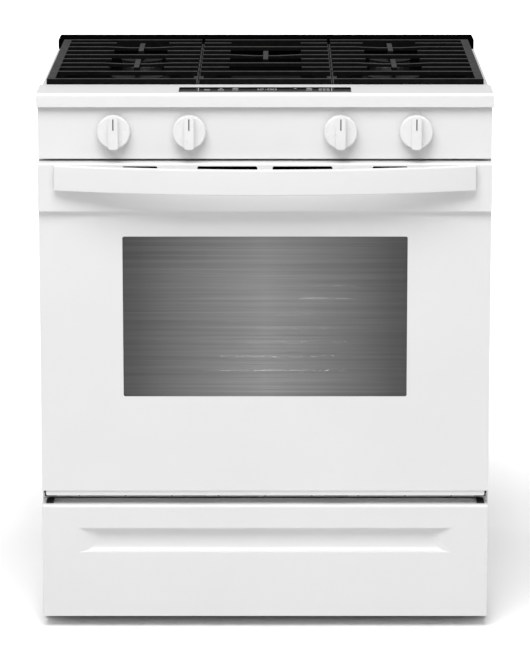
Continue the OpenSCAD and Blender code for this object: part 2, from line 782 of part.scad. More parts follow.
module door_liner() color("#202024") difference() {
    union() {
        across(half_w - 5.5, [door_t - sheet, door_t], [door_sill + 3, door_top - 4]);
        both_sides() slab([half_w - 5.5 - sheet, half_w - 5.5], [door_t - 12, door_t],
            [door_sill + 3, door_top - 4]);
        across(half_w - 5.5, [door_t - 12, door_t], [door_top - 4 - sheet, door_top - 4]);
    }
    along_y([door_t - sheet - cut, door_t + cut])
        rounded([-window_w / 2 + 12, window_w / 2 - 12], [window_z + 19, window_z + window_h - 19], 14);
    hinge_notch();
}

module door_insulation() color("khaki") difference() {
    across(hinge_x - 6, [sheet + 5, door_t - sheet - 4.5], [door_sill + 20, door_top - 36]);
    across(window_w / 2 + 14, [0, door_t], [window_z - 14, window_z + window_h + 14]);
}

module hinge_arms() color("silver") both_sides() {
    x = [hinge_x + hinge_w / 2 - arm_t / 2, hinge_x + hinge_w / 2 + arm_t / 2];
    difference() {
        union() {
            rod_x(ear_r, x, pivot_y, pivot_z);
            slab(x, [pivot_y - ear_r, pivot_y + ear_r], [pivot_z, pivot_z + 90]);
            slab(x, [pivot_y, door_t - sheet], [pivot_z + 25, pivot_z + 90]);
        }
        rod_x(pin_r + fit_gap, [x[0] - cut, x[1] + cut], pivot_y, pivot_z);
    }
}

module hinge_brackets() color("#2a2a2c") both_sides() {
    for (x = [hinge_x, hinge_x + hinge_w - ear_t]) {
        rod_x(ear_r, [x, x + ear_t], pivot_y, pivot_z);
        slab([x, x + ear_t], [pivot_y, frame_y - 1.5], [pivot_z - ear_r, pivot_z + ear_r]);
    }
    slab([hinge_x - 1, hinge_x + hinge_w + 1], [frame_y - 1.5, frame_y],
        [drawer_top + 3, pivot_z + ear_r + 4]);
    rod_x(pin_r, [hinge_x, hinge_x + hinge_w], pivot_y, pivot_z);
}

// ---- drawer ------------------------------------------------------------------------

module scoop_outline() {
    top = drawer_bottom + drawer_h - 40.8;
    low = top - 42.6;
    steps = 8;
    polygon(concat(
        [[-cut, low], [-cut, top], [scoop_d, top]],
        [for (i = [0:steps]) [scoop_d * cos(i * 90 / steps), top - 10 - 32.6 * sin(i * 90 / steps)]]));
}

module drawer_front() color("white") difference() {
    union() {
        across(half_w - 2, [6, drawer_face_t], [drawer_bottom, drawer_top]);
        across(half_w - 2, [0, drawer_face_t], [drawer_bottom, drawer_top - 6]);
        rod_x(6, [-half_w + 2, half_w - 2], 6, drawer_top - 6);
    }
    intersection() {
        along_x([-half_w, half_w]) scoop_outline();
        linear_extrude(drawer_top) polygon([
            [-half_w + 60, -cut], [half_w - 60, -cut],
            [half_w - 104, scoop_d + cut], [-half_w + 104, scoop_d + cut]]);
    }
    across(half_w - 4, [scoop_d + 3, drawer_face_t + cut], [drawer_bottom + 2, drawer_top - 2]);
    across(half_w - 4, [2, drawer_face_t + cut], [drawer_bottom + 2, drawer_top - 86]);
    across(half_w - 4, [8, drawer_face_t + cut], [drawer_top - 38, drawer_top - 2]);
}

module drawer_box() color("gray") {
    across(half_w - 4, [drawer_face_t, face_back], [drawer_bottom + 4, drawer_top - 6]);
    shell_box(drawer_half, [face_back, box_rear], [box_bottom, box_top], sheet, [sheet, 0, 0, 40]);
}

module drawer_runners() color("silver") both_sides() {
    y = [face_back + 14, box_rear];
    slab([drawer_half, drawer_half + 1.5], y, [rail_z - 15, rail_z + 15]);
    slab([drawer_half + 1.5, drawer_half + 19], y, [rail_z - 1.5, rail_z + 1.5]);
    slab([drawer_half + 9, drawer_half + 18], [y[1] - 40, y[1] - 10],
        [rail_z - rail_half_h + 3, rail_z + rail_half_h - 3]);
}

module drawer_rails() color("gray") both_sides() difference() {
    slab([drawer_half + 5, inner_half], [frame_back + 13, body_d - rear_clear],
        [rail_z - rail_half_h, rail_z + rail_half_h]);
    slab([drawer_half + 5 - cut, drawer_half + 21], [frame_back, body_d],
        [rail_z - rail_half_h + 2, rail_z + rail_half_h - 2]);
    slab([drawer_half + 22.5, inner_half - 1.5], [frame_back, body_d],
        [rail_z - rail_half_h + 1.5, rail_z + rail_half_h - 1.5]);
}

// ---- parts -------------------------------------------------------------------------

installed() mirror([1, 0, 0]) side_panel();  // side_panel_left
installed() side_panel();  // side_panel_right
installed() rear_panel();
installed() base_pan();
installed() leveling_legs();
installed() front_frame();
installed() oven_liner();
installed() oven_floor();
installed() bake_burner();
installed() broil_burner();
installed() oven_igniters();
installed() temperature_sensor();
installed() oven_lamp();
installed() lamp_cover();
installed() oven_insulation();
installed() door_gasket();
installed() hinge_brackets();
installed() cooktop();
installed() burner_heads();
installed() burner_caps();
installed() spark_electrodes();
installed() orifice_holders();
installed() front_console();
installed() touch_glass();
installed() control_board();
installed() control_panel();
installed() rear_vent_trim();
installed() flue_duct();
installed() gas_manifold();
installed() valve_bodies();
installed() gas_tubes();
installed() pressure_regulator();
installed() cord_gland();
installed() drawer_rails();
installed() cabinet_screws();
installed() door_top_trim();
installed() door_handle();
installed() door_outer_panel();
installed() window_glass();
installed() inner_window_glass();
installed() door_liner();
installed() door_insulation();
installed() hinge_arms();
installed() door_bottom_strip();
installed() drawer_front();
installed() drawer_box();
installed() drawer_runners();
installed() oven_rack(rack_level(4));  // oven_rack_upper
installed() oven_rack(rack_level(2));  // oven_rack_lower
installed() mirror([1, 0, 0]) side_grate();  // grate_left
installed() centre_grate();  // grate_center
installed() side_grate();  // grate_right
for (i = [0:3]) {
    installed() valve_stem(i);
    installed() knob(i);
}
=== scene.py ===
"""The looks of a white freestanding gas range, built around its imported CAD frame."""

import math

import bmesh
import bpy
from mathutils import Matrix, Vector


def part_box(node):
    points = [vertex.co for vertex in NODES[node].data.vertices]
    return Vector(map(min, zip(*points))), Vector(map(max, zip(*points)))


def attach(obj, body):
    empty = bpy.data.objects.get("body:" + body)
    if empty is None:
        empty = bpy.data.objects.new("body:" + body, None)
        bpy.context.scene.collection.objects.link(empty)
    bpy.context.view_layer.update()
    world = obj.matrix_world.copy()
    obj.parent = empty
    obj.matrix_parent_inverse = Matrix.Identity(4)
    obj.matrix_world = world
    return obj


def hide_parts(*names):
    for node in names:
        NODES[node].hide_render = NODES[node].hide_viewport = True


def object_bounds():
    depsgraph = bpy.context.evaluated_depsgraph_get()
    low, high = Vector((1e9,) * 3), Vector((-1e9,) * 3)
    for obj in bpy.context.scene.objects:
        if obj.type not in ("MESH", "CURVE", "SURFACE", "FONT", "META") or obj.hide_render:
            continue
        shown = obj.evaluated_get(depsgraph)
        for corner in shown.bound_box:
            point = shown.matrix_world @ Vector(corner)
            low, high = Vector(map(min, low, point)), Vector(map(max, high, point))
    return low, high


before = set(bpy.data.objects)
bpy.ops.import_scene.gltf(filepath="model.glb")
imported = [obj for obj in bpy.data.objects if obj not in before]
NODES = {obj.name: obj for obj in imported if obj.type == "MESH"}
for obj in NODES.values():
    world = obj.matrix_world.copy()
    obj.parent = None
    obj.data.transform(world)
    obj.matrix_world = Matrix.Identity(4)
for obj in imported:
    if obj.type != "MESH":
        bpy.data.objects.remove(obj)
CAD_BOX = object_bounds()

# Lengths are in metres and angles in degrees throughout.

# ---- view -----------------------------------------------------------------------------

CAMERA_SIDE = 0.0215
CAMERA_DISTANCE = 5.894
CAMERA_HEIGHT = 1.777
CAMERA_TILT = 10.97
CAMERA_LENS = 188.1
CAMERA_SHIFT = (-0.0197, -0.150)


def add_camera():
    data = bpy.data.cameras.new("view_camera")
    data.lens = CAMERA_LENS
    data.shift_x, data.shift_y = CAMERA_SHIFT
    data.clip_start, data.clip_end = 0.1, 100
    camera = bpy.data.objects.new("view_camera", data)
    camera.location = (CAMERA_SIDE, -CAMERA_DISTANCE, CAMERA_HEIGHT)
    camera.rotation_euler = (math.radians(90 - CAMERA_TILT), 0, 0)
    bpy.context.scene.collection.objects.link(camera)
    bpy.context.scene.camera = camera


# ---- studio ---------------------------------------------------------------------------

# place, target, size and power of each light; the rack light hangs inside the oven
LIGHTS = {
    "key_light": ((-0.4, -2.5, 3.9), (0, -0.25, 0.5), (3.0, 2.2), 130),
    "top_light": ((0.2, -0.3, 3.6), (0, 0, 0.9), (2.4, 1.6), 17),
    "rack_light": ((0, -0.225, 0.672), (0, -0.215, 0.30), (0.30, 0.03), 9.0),
}
UNSEEN_LIGHT = "rack_light"
SKY_STRENGTH = 0.47
BACKDROP_STRENGTH = 1.05
# Height in the sky, as the Z of a direction, and its colour in reflections
SKY_LOW = (0.35, (0.16, 0.16, 0.16, 1))
SKY_HIGH = (0.90, (0.60, 0.60, 0.61, 1))
# Brightness of the floor for the camera, and the distances over which it changes
FLOOR_NEAR, FLOOR_FAR = 1.15, 3.4
FLOOR_FADE = (0.5, 3.0)
FLOOR_HALF = 30


def add_area_light(name, place, target, size, power):
    data = bpy.data.lights.new(name, "AREA")
    data.shape = "RECTANGLE"
    data.size, data.size_y = size
    data.energy = power
    light = bpy.data.objects.new(name, data)
    light.location = place
    aim = Vector(target) - Vector(place)
    light.rotation_euler = aim.to_track_quat("-Z", "Y").to_euler()
    bpy.context.scene.collection.objects.link(light)
    light.visible_camera = name != UNSEEN_LIGHT


def add_world():
    """White to the camera, and a soft sky that is dimmer near the horizon for reflections."""
    world = bpy.data.worlds.new("studio")
    bpy.context.scene.world = world
    world.use_nodes = True
    tree = world.node_tree
    light = tree.nodes["Background"]
    light.inputs["Color"].default_value = (1, 1, 1, 1)
    light.inputs["Strength"].default_value = SKY_STRENGTH
    backdrop = tree.nodes.new("ShaderNodeBackground")
    backdrop.inputs["Color"].default_value = (1, 1, 1, 1)
    backdrop.inputs["Strength"].default_value = BACKDROP_STRENGTH
    dim = tree.nodes.new("ShaderNodeBackground")
    dim.inputs["Strength"].default_value = 1.0
    coords = tree.nodes.new("ShaderNodeTexCoord")
    split = tree.nodes.new("ShaderNodeSeparateXYZ")
    tree.links.new(coords.outputs["Generated"], split.inputs[0])
    ramp = tree.nodes.new("ShaderNodeValToRGB")
    tree.links.new(split.outputs["Z"], ramp.inputs["Fac"])
    for element, (position, colour) in zip(ramp.color_ramp.elements, (SKY_LOW, SKY_HIGH)):
        element.position, element.color = position, colour
    tree.links.new(ramp.outputs["Color"], dim.inputs["Color"])
    path = tree.nodes.new("ShaderNodeLightPath")
    glossy = tree.nodes.new("ShaderNodeMixShader")
    tree.links.new(path.outputs["Is Glossy Ray"], glossy.inputs[0])
    tree.links.new(light.outputs[0], glossy.inputs[1])
    tree.links.new(dim.outputs[0], glossy.inputs[2])
    seen = tree.nodes.new("ShaderNodeMixShader")
    tree.links.new(path.outputs["Is Camera Ray"], seen.inputs[0])
    tree.links.new(glossy.outputs[0], seen.inputs[1])
    tree.links.new(backdrop.outputs[0], seen.inputs[2])
    tree.links.new(seen.outputs[0], tree.nodes["World Output"].inputs["Surface"])


def add_floor():
    mesh = bpy.data.meshes.new("studio_floor")
    half = FLOOR_HALF
    level = CAD_BOX[0].z
    corners = [(-half, -half), (half, -half), (half, half), (-half, half)]
    mesh.from_pydata([(x, y, level) for x, y in corners], [], [(0, 1, 2, 3)])
    floor = bpy.data.objects.new("studio_floor", mesh)
    bpy.context.scene.collection.objects.link(floor)
    mesh.materials.append(floor_paint())


def floor_paint():
    """Pale paint, brighter than white where the camera sees it and plain where light bounces."""
    look = Surface("studio_floor", {"Roughness": 0.9, "Specular IOR Level": 0.0})
    look.colour(look.ramp(look.noise(3), [(0.3, grey(0.78)), (0.7, grey(0.80))]))
    bright = look.tree.nodes.new("ShaderNodeBsdfDiffuse")
    reach = look.tree.nodes.new("ShaderNodeVectorMath")
    reach.operation = "LENGTH"
    look.link(look.place, reach.inputs[0])
    boost = look.tree.nodes.new("ShaderNodeMapRange")
    boost.inputs["From Min"].default_value, boost.inputs["From Max"].default_value = FLOOR_FADE
    boost.inputs["To Min"].default_value = FLOOR_NEAR
    boost.inputs["To Max"].default_value = FLOOR_FAR
    look.link(reach.outputs["Value"], boost.inputs["Value"])
    look.link(boost.outputs["Result"], bright.inputs["Color"])
    mix = look.tree.nodes.new("ShaderNodeMixShader")
    seen = look.tree.nodes.new("ShaderNodeLightPath")
    look.link(seen.outputs["Is Camera Ray"], mix.inputs[0])
    look.link(look.shader.outputs[0], mix.inputs[1])
    look.link(bright.outputs[0], mix.inputs[2])
    look.link(mix.outputs[0], look.tree.nodes["Material Output"].inputs["Surface"])
    return look.material


# ---- materials ------------------------------------------------------------------------

def grey(value, warmth=0.0):
    return (value * (1 + warmth), value, value * (1 - warmth), 1)


class Surface:
    """A Principled material whose look comes from procedural textures in object space."""

    def __init__(self, name, sockets):
        self.material = bpy.data.materials.new("look_" + name)
        self.material.use_nodes = True
        self.tree = self.material.node_tree
        self.shader = self.tree.nodes["Principled BSDF"]
        for socket, value in sockets.items():
            self.shader.inputs[socket].default_value = value
        self.place = self.tree.nodes.new("ShaderNodeTexCoord").outputs["Object"]

    def link(self, output, socket):
        self.tree.links.new(output, socket)

    def stretched(self, scale):
        mapping = self.tree.nodes.new("ShaderNodeMapping")
        mapping.inputs["Scale"].default_value = scale
        self.link(self.place, mapping.inputs["Vector"])
        return mapping.outputs["Vector"]

    def noise(self, scale, detail=2.0, stretch=(1, 1, 1), roughness=0.5):
        node = self.tree.nodes.new("ShaderNodeTexNoise")
        node.inputs["Scale"].default_value = scale
        node.inputs["Detail"].default_value = detail
        node.inputs["Roughness"].default_value = roughness
        self.link(self.stretched(stretch), node.inputs["Vector"])
        return node.outputs["Fac"]

    def cells(self, scale, feature="F1", output="Distance", stretch=(1, 1, 1)):
        node = self.tree.nodes.new("ShaderNodeTexVoronoi")
        node.feature = feature
        node.inputs["Scale"].default_value = scale
        self.link(self.stretched(stretch), node.inputs["Vector"])
        return node.outputs[output]

    def waves(self, scale, direction, distortion=0.0):
        node = self.tree.nodes.new("ShaderNodeTexWave")
        node.bands_direction = direction
        node.inputs["Scale"].default_value = scale
        node.inputs["Distortion"].default_value = distortion
        self.link(self.place, node.inputs["Vector"])
        return node.outputs["Fac"]

    def axis(self, letter):
        split = self.tree.nodes.new("ShaderNodeSeparateXYZ")
        self.link(self.place, split.inputs[0])
        return split.outputs[letter]

    def upward(self):
        """How far the surface faces up."""
        split = self.tree.nodes.new("ShaderNodeSeparateXYZ")
        self.link(self.tree.nodes.new("ShaderNodeNewGeometry").outputs["Normal"], split.inputs[0])
        return split.outputs["Z"]

    def maths(self, operation, a, b=0.0):
        node = self.tree.nodes.new("ShaderNodeMath")
        node.operation = operation
        for socket, value in zip(node.inputs, (a, b)):
            if isinstance(value, (int, float)):
                socket.default_value = value
            else:
                self.link(value, socket)
        return node.outputs[0]

    def ramp(self, factor, stops):
        node = self.tree.nodes.new("ShaderNodeValToRGB")
        elements = node.color_ramp.elements
        while len(elements) < len(stops):
            elements.new(0.5)
        for element, (position, colour) in zip(elements, stops):
            element.position = position
            element.color = colour
        self.link(factor, node.inputs["Fac"])
        return node.outputs["Color"]

    def levels(self, factor, low, high):
        """Spreads the middle of a noise, from 0.3 to 0.7, over a range."""
        node = self.tree.nodes.new("ShaderNodeMapRange")
        node.inputs["From Min"].default_value = 0.3
        node.inputs["From Max"].default_value = 0.7
        node.inputs["To Min"].default_value = low
        node.inputs["To Max"].default_value = high
        self.link(factor, node.inputs["Value"])
        return node.outputs["Result"]

    def multiply(self, first, second):
        node = self.tree.nodes.new("ShaderNodeMix")
        node.data_type = "RGBA"
        node.blend_type = "MULTIPLY"
        node.inputs["Factor"].default_value = 1.0
        self.link(first, node.inputs["A"])
        self.link(second, node.inputs["B"])
        return node.outputs["Result"]

    def colour(self, output):
        self.link(output, self.shader.inputs["Base Color"])

    def gloss(self, output):
        self.link(output, self.shader.inputs["Roughness"])

    def bump(self, height, strength, depth):
        node = self.tree.nodes.new("ShaderNodeBump")
        node.inputs["Strength"].default_value = strength
        node.inputs["Distance"].default_value = depth
        self.link(height, node.inputs["Height"])
        previous = self.shader.inputs["Normal"]
        if previous.is_linked:
            self.link(previous.links[0].from_socket, node.inputs["Normal"])
        self.link(node.outputs["Normal"], previous)


def enamel(name, dark, light, roughness, specular=0.5, peel=0.05):
    """Baked enamel: a slow drift of tone, an uneven gloss and a fine orange peel."""
    look = Surface(name, {"Specular IOR Level": specular})
    look.colour(look.ramp(look.noise(4, 3), [(0.3, dark), (0.7, light)]))
    look.gloss(look.levels(look.noise(60, 3), roughness * 0.94, roughness * 1.06))
    look.bump(look.noise(420, 2), peel, 0.0003)
    return look


def flecked_enamel():
    """Oven enamel: near black with pale specks of two sizes."""
    look = Surface("flecked_enamel", {"Specular IOR Level": 0.4})
    fine = look.ramp(look.cells(420), [(0.10, grey(0.20)), (0.16, grey(0.012))])
    coarse = look.ramp(look.cells(150), [(0.05, grey(0.35)), (0.08, grey(0.010))])
    node = look.tree.nodes.new("ShaderNodeMix")
    node.data_type = "RGBA"
    node.blend_type = "LIGHTEN"
    node.inputs["Factor"].default_value = 1.0
    look.link(fine, node.inputs["A"])
    look.link(coarse, node.inputs["B"])
    look.colour(node.outputs["Result"])
    look.gloss(look.levels(look.noise(30, 3), 0.22, 0.38))
    look.bump(look.noise(300, 3), 0.12, 0.0006)
    return look


def iron(name, dark, light, roughness, grain):
    """Sand-cast iron under a matt coating, smoother where pans rest on it, with painted light on its upward
    faces and painted shade on its sides.
    """
    look = Surface(name, {"Specular IOR Level": 0.14})
    tone = look.ramp(look.noise(60, 5), [(0.3, dark), (0.7, light)])
    # Painted light and shade: upward faces get a colour up to 25 times paler than the sides, standing in
    # for light falling from above
    painted_top_light = look.ramp(look.upward(), [(0.55, grey(0.04)), (0.90, grey(1.0))])
    look.colour(look.multiply(tone, painted_top_light))
    matt = look.levels(look.upward(), 2.0, 1.0)
    uneven = look.levels(look.noise(90, 4), roughness * 0.85, roughness * 1.2)
    look.gloss(look.maths("MULTIPLY", uneven, matt))
    look.bump(look.noise(900, 4, roughness=0.7), grain, 0.0009)
    look.bump(look.noise(120, 2), grain * 0.5, 0.0015)
    return look


def brushed(name, dark, light, roughness, stretch, metallic=1.0):
    """Rolled or brushed metal with a grain along one axis."""
    look = Surface(name, {"Metallic": metallic})
    lines = look.noise(500, 3, stretch)
    look.colour(look.ramp(lines, [(0.3, dark), (0.7, light)]))
    look.gloss(look.levels(look.noise(700, 2, stretch), roughness * 0.8, roughness * 1.2))
    look.bump(lines, 0.08, 0.0003)
    return look


def cast_metal(name, dark, light, roughness, metallic=1.0):
    look = Surface(name, {"Metallic": metallic})
    look.colour(look.ramp(look.noise(80, 4), [(0.3, dark), (0.7, light)]))
    look.gloss(look.levels(look.noise(150, 3), roughness * 0.8, roughness * 1.25))
    look.bump(look.noise(650, 3), 0.15, 0.0005)
    return look


def galvanised():
    """Zinc-coated sheet with its spangle."""
    look = Surface("galvanised", {"Metallic": 0.85})
    spangle = look.cells(75, output="Color")
    tone = look.ramp(spangle, [(0.2, grey(0.38)), (0.8, grey(0.56, -0.02))])
    look.colour(look.multiply(tone, look.ramp(look.noise(9, 4), [(0.3, grey(0.85)), (0.7, grey(1.0))])))
    look.gloss(look.levels(spangle, 0.34, 0.52))
    look.bump(look.noise(200, 3), 0.06, 0.0005)
    return look


# Brings the half width of the window to about 1
WINDOW_FADE = 4.0


def window_tint():
    """Grey-tinted door glass: a screen that thins out to the middle, in fine level streaks, with a painted
    glow that makes its colour paler towards the middle.
    """
    look = Surface("window_tint", {"Roughness": 0.07, "Specular IOR Level": 0.5})
    side = look.maths("MULTIPLY", look.maths("ABSOLUTE", look.axis("X")), WINDOW_FADE)
    # Painted light: the colour is about five times paler at the middle than at the edges, a painted glow in
    # the middle of the window
    painted_middle_light = look.ramp(side, [
        (0.0, grey(0.340)), (0.40, grey(0.220)), (0.85, grey(0.080)), (0.97, grey(0.060))])
    cover = look.ramp(side, [
        (0.0, grey(0.64)), (0.40, grey(0.74)), (0.85, grey(0.90)), (0.97, grey(0.92))])
    look.link(cover, look.shader.inputs["Alpha"])
    streaks = look.noise(1, 4, (2.2, 1, 210), 0.65)
    tone = look.ramp(streaks, [(0.30, grey(0.80)), (0.52, grey(1.0)), (0.72, grey(1.18))])
    look.colour(look.multiply(painted_middle_light, tone))
    return look


def clear_glass():
    look = Surface("clear_glass", {
        "Base Color": (0.93, 0.97, 0.96, 1), "Transmission Weight": 1.0, "IOR": 1.45})
    look.gloss(look.levels(look.noise(20, 3), 0.01, 0.05))
    look.bump(look.noise(40, 2), 0.02, 0.0005)
    return look


def lamp_glass():
    look = Surface("lamp_glass", {
        "Base Color": (0.95, 0.96, 0.93, 1), "Transmission Weight": 1.0, "IOR": 1.47})
    look.gloss(look.levels(look.noise(60, 3), 0.02, 0.10))
    look.bump(look.cells(160), 0.3, 0.001)
    return look


def touch_black():
    look = Surface("touch_black", {"Specular IOR Level": 0.3})
    look.colour(look.ramp(look.noise(25, 3), [(0.3, grey(0.004)), (0.7, grey(0.007))]))
    look.gloss(look.levels(look.noise(40, 4), 0.04, 0.12))
    return look


def moulded(name, dark, light, roughness, grain=0.05, specular=0.5):
    """Moulded plastic with a fine grain."""
    look = Surface(name, {"Specular IOR Level": specular})
    look.colour(look.ramp(look.noise(30, 3), [(0.3, dark), (0.7, light)]))
    look.gloss(look.levels(look.noise(120, 3), roughness * 0.85, roughness * 1.2))
    look.bump(look.noise(1500, 2), grain, 0.0003)
    return look


def mineral_wool():
    look = Surface("mineral_wool", {"Specular IOR Level": 0.1, "Sheen Weight": 0.3})
    fibres = look.noise(260, 6, (1, 1, 0.25), 0.75)
    look.colour(look.ramp(fibres, [
        (0.3, (0.42, 0.34, 0.13, 1)), (0.5, (0.66, 0.56, 0.27, 1)), (0.7, (0.80, 0.72, 0.44, 1))]))
    look.gloss(look.levels(fibres, 0.85, 1.0))
    look.bump(fibres, 0.8, 0.004)
    look.bump(look.noise(30, 3), 0.4, 0.01)
    return look


def seal_braid():
    """Woven glass-fibre sleeve."""
    look = Surface("seal_braid", {"Specular IOR Level": 0.2})
    one = look.waves(420, "DIAGONAL", 1.0)
    look.colour(look.ramp(one, [(0.2, grey(0.02)), (0.8, grey(0.10))]))
    look.gloss(look.levels(look.noise(200, 3), 0.7, 0.95))
    look.bump(one, 0.6, 0.0012)
    return look


def glazed_ceramic():
    look = Surface("glazed_ceramic", {})
    specks = look.ramp(look.cells(500), [(0.06, (0.5, 0.42, 0.3, 1)), (0.12, grey(0.78, 0.02))])
    look.colour(look.multiply(specks, look.ramp(look.noise(50, 3), [(0.3, grey(0.88)), (0.7, grey(1.0))])))
    look.gloss(look.levels(look.noise(90, 3), 0.25, 0.5))
    look.bump(look.noise(400, 3), 0.1, 0.0005)
    return look


def circuit_board():
    look = Surface("circuit_board", {"Specular IOR Level": 0.5})
    resist, copper = (0.01, 0.10, 0.03, 1), (0.02, 0.22, 0.07, 1)
    tracks = look.ramp(look.waves(110, "X", 6.0), [(0.45, resist), (0.55, copper)])
    pads = look.ramp(look.cells(260), [(0.10, (0.6, 0.5, 0.3, 1)), (0.14, grey(1.0))])
    look.colour(look.multiply(tracks, pads))
    look.gloss(look.levels(look.noise(100, 3), 0.3, 0.5))
    return look


ALONG_X = (0.02, 1, 1)
ALONG_Z = (1, 1, 0.02)

LOOKS = {
    "white": enamel("white", grey(0.80), grey(0.82), 0.30, 0.45, 0.02),
    "white_frame": enamel("white_frame", grey(0.80), grey(0.84), 0.32),
    "cooktop": enamel("cooktop", grey(0.001), grey(0.002), 0.12, 0.01, 0.02),
    "trim_black": enamel("trim_black", grey(0.001), grey(0.002), 0.40, 0.0, 0.02),
    "cap_black": enamel("cap_black", grey(0.006), grey(0.010), 0.34, 0.4, 0.05),
    "oven": flecked_enamel(),
    "iron": iron("iron", grey(0.034), grey(0.058), 0.42, 0.30),
    "touch": touch_black(),
    "window": window_tint(),
    "clear": clear_glass(),
    "lamp": lamp_glass(),
    "steel": brushed("steel", grey(0.42), grey(0.60), 0.32, ALONG_Z),
    "dark_steel": brushed("dark_steel", grey(0.020), grey(0.040), 0.45, ALONG_Z, 0.5),
    "zinc": galvanised(),
    "chrome": brushed("chrome", grey(0.66), grey(0.76), 0.14, ALONG_X),
    "aluminium": cast_metal("aluminium", grey(0.42), grey(0.58), 0.42),
    "brass": cast_metal("brass", (0.55, 0.36, 0.12, 1), (0.72, 0.50, 0.20, 1), 0.32),
    "wool": mineral_wool(),
    "seal": seal_braid(),
    "ceramic": glazed_ceramic(),
    "circuit": circuit_board(),
    "knob": moulded("knob", grey(0.80), grey(0.84), 0.30),
    "black_plastic": moulded("black_plastic", grey(0.015), grey(0.028), 0.5, 0.15),
    "print": moulded("print", grey(0.42), grey(0.50), 0.4),
    "mark": moulded("mark", grey(0.035), grey(0.055), 0.45),
}

# look, bevel width in metres, nodes
FINISHES = [
    ("white", 0.0008, ["side_panel_left", "side_panel_right", "door_outer_panel",
                       "door_bottom_strip"]),
    ("white", 0.0012, ["front_console", "door_top_trim", "drawer_front", "control_panel"]),
    ("white", 0.0030, ["door_handle"]),
    ("white_frame", 0.0005, ["front_frame"]),
    ("cooktop", 0.0020, ["cooktop"]),
    ("trim_black", 0.0008, ["rear_vent_trim"]),
    ("cap_black", 0.0006, ["burner_caps"]),
    ("oven", 0.0008, ["oven_liner", "oven_floor", "door_liner"]),
    ("iron", 0.0018, ["grate_left", "grate_center", "grate_right"]),
    ("touch", 0.0004, ["touch_glass"]),
    ("window", 0.0004, ["window_glass"]),
    ("clear", 0.0004, ["inner_window_glass"]),
    ("lamp", 0.0, ["lamp_cover"]),
    ("steel", 0.0004, ["leveling_legs", "bake_burner", "broil_burner", "temperature_sensor",
                       "gas_manifold", "drawer_rails", "hinge_arms", "drawer_runners",
                       "valve_stem_1", "valve_stem_2", "valve_stem_3", "valve_stem_4"]),
    ("steel", 0.0, ["cabinet_screws"]),
    ("dark_steel", 0.0006, ["hinge_brackets"]),
    ("zinc", 0.0006, ["rear_panel", "base_pan", "flue_duct", "drawer_box"]),
    ("aluminium", 0.0005, ["burner_heads", "orifice_holders", "pressure_regulator"]),
    ("aluminium", 0.0, ["gas_tubes"]),
    ("brass", 0.0006, ["valve_bodies"]),
    ("ceramic", 0.0003, ["spark_electrodes", "oven_igniters"]),
    ("ceramic", 0.0, ["oven_lamp"]),
    ("circuit", 0.0002, ["control_board"]),
    ("black_plastic", 0.0005, ["cord_gland"]),
    ("knob", 0.0010, ["knob_1", "knob_2", "knob_3", "knob_4"]),
]


def smoothing_group(angle):
    """A modifier group that shades smoothly except across edges sharper than the angle."""
    group = bpy.data.node_groups.new("smooth_by_angle", "GeometryNodeTree")
    group.interface.new_socket("Geometry", in_out="INPUT", socket_type="NodeSocketGeometry")
    group.interface.new_socket("Geometry", in_out="OUTPUT", socket_type="NodeSocketGeometry")
    start = group.nodes.new("NodeGroupInput")
    end = group.nodes.new("NodeGroupOutput")
    faces = group.nodes.new("GeometryNodeSetShadeSmooth")
    edges = group.nodes.new("GeometryNodeSetShadeSmooth")
    edges.domain = "EDGE"
    edges.inputs["Shade Smooth"].default_value = False
    fold = group.nodes.new("GeometryNodeInputMeshEdgeAngle")
    sharp = group.nodes.new("FunctionNodeCompare")
    sharp.data_type = "FLOAT"
    sharp.operation = "GREATER_THAN"
    sharp.inputs["B"].default_value = math.radians(angle)
    group.links.new(start.outputs[0], faces.inputs["Geometry"])
    group.links.new(faces.outputs["Geometry"], edges.inputs["Geometry"])
    group.links.new(fold.outputs["Unsigned Angle"], sharp.inputs["A"])
    group.links.new(sharp.outputs["Result"], edges.inputs["Selection"])
    group.links.new(edges.outputs["Geometry"], end.inputs[0])
    return group


SMOOTHING = smoothing_group(32)
WELD_GAP = 1e-5
FLAT_ANGLE = math.radians(0.3)
BEVEL_ANGLE = math.radians(38)


def finish_edges(piece, bevel):
    """Welds the mesh, rounds its sharp edges and shades the rest smoothly."""
    piece.modifiers.new("weld", "WELD").merge_threshold = WELD_GAP
    if bevel > 0:
        flat = piece.modifiers.new("flat_faces", "DECIMATE")
        flat.decimate_type = "DISSOLVE"
        flat.angle_limit = FLAT_ANGLE
        rounding = piece.modifiers.new("edge_rounding", "BEVEL")
        rounding.width = bevel
        rounding.segments = 2
        rounding.limit_method = "ANGLE"
        rounding.angle_limit = BEVEL_ANGLE
    piece.modifiers.new("smoothing", "NODES").node_group = SMOOTHING
    weighted = piece.modifiers.new("weighted_normals", "WEIGHTED_NORMAL")
    weighted.keep_sharp = True


def paint(piece, look):
    piece.data.materials.clear()
    piece.data.materials.append(LOOKS[look].material)


for look, bevel, names in FINISHES:
    for name in names:
        paint(NODES[name], look)
        finish_edges(NODES[name], bevel)

# ---- pieces -----------------------------------------------------------------------------

def new_piece(name, bm, look, body, slot, *stands_for):
    """Puts a mesh built in place into the scene, riding on its body."""
    mesh = bpy.data.meshes.new(name)
    bmesh.ops.recalc_face_normals(bm, faces=bm.faces)
    bm.to_mesh(mesh)
    bm.free()
    piece = bpy.data.objects.new(name, mesh)
    bpy.context.scene.collection.objects.link(piece)
    paint(piece, look)
    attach(piece, body)
    if stands_for:
        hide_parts(*stands_for)
    return piece


def add_block(bm, low, high):
    """A box between two corners."""
    corners = [(x, y, z) for x in (low[0], high[0]) for y in (low[1], high[1]) for z in (low[2], high[2])]
    verts = [bm.verts.new(c) for c in corners]
    for face in ((0, 1, 3, 2), (4, 6, 7, 5), (0, 4, 5, 1), (2, 3, 7, 6), (0, 2, 6, 4), (1, 5, 7, 3)):
        bm.faces.new([verts[i] for i in face])


def add_plate(bm, x, y, level, thick):
    add_block(bm, (x[0], y[0], level), (x[1], y[1], level + thick))


